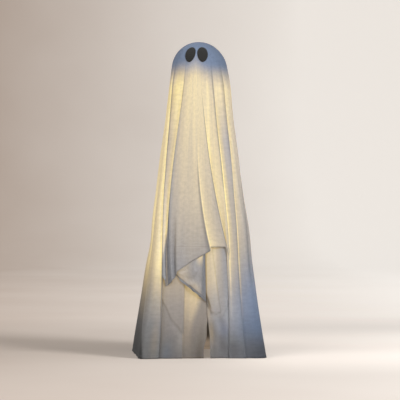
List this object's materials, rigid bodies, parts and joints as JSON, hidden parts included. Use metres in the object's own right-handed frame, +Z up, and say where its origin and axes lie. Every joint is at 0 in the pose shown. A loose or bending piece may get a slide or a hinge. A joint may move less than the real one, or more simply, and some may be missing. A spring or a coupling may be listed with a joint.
{
  "type": "light-up standing ghost decoration",
  "caption": "Free-standing light-up cloth ghost: draped, lined cover with felt eyes over a plastic head, a battery downlight and a knock-down frame of leaning legs.",
  "frame": {"origin": "on the floor under the middle of the head, between the four feet", "axes": "+Z up, the eyes and the caught-up front of the cloth towards -Y, +X to the right as seen from the front"},
  "size_m": [0.3702, 0.3687, 0.914],
  "materials": {
    "drape_cloth": "thin slubby cloth, blue-grey where unlit and warm where lit from inside",
    "lining_cloth": "thin slubby cloth with a turned and stitched hem",
    "binding_tape": "woven cotton tape",
    "black_felt": "matt felt",
    "head_plastic": "matt opaque moulding",
    "hub_plastic": "fine-grained moulding",
    "reflector_plastic": "glossy white",
    "opal_lens": "opal diffuser, lit",
    "board": "white solder mask",
    "led_chip": "yellow phosphor",
    "cell_wrap": "printed-free dark sleeve",
    "bright_steel": "plated",
    "black_plastic": "fine-grained",
    "lead_insulation": "smooth insulation",
    "leg_paint": "white powder coat",
    "coupler_plastic": "fine-grained moulding",
    "foot_rubber": "matt"
  },
  "bodies": {
    "frame": {"head_form": "head_plastic", "head_screws": "bright_steel", "crown_hub": "hub_plastic", "lamp_reflector": "reflector_plastic", "lamp_lens": "opal_lens", "led_board": "board", "led_chips": "led_chip", "lamp_cap": "hub_plastic", "battery_tray": "hub_plastic", "battery_cells": "cell_wrap", "contact_springs": "bright_steel", "contact_plates": "bright_steel", "door_pin": "bright_steel", "switch_body": "black_plastic", "lamp_leads": "lead_insulation", "upper_leg_rear_right": "leg_paint", "lower_leg_rear_right": "leg_paint", "coupler_rear_right": "coupler_plastic", "foot_cap_rear_right": "foot_rubber", "upper_leg_rear_left": "leg_paint", "lower_leg_rear_left": "leg_paint", "coupler_rear_left": "coupler_plastic", "foot_cap_rear_left": "foot_rubber", "upper_leg_front_left": "leg_paint", "lower_leg_front_left": "leg_paint", "coupler_front_left": "coupler_plastic", "foot_cap_front_left": "foot_rubber", "upper_leg_front_right": "leg_paint", "lower_leg_front_right": "leg_paint", "coupler_front_right": "coupler_plastic", "foot_cap_front_right": "foot_rubber", "spreader_right": "leg_paint", "spreader_rear": "leg_paint", "spreader_left": "leg_paint", "spreader_front": "leg_paint"},
    "cover": {"outer_drape": "drape_cloth", "lining_skirt": "lining_cloth", "neck_tape": "binding_tape", "left_eye": "black_felt", "right_eye": "black_felt"},
    "door": {"battery_door": "hub_plastic"},
    "switch": {"switch_slider": "black_plastic"}
  },
  "joints": [
    {"name": "cover_lift", "type": "slide", "parent": "frame", "child": "cover", "axis": [0, 0, 1], "range_m": [0, 0.93]},
    {"name": "battery_door_hinge", "type": "hinge", "parent": "frame", "child": "door", "pos_m": [0, 0.06539, 0.82915], "axis": [1, 0, 0], "range_deg": [0, 95]},
    {"name": "lamp_switch", "type": "slide", "parent": "frame", "child": "switch", "axis": [0, 1, 0], "range_m": [-0.006, 0]}
  ]
}
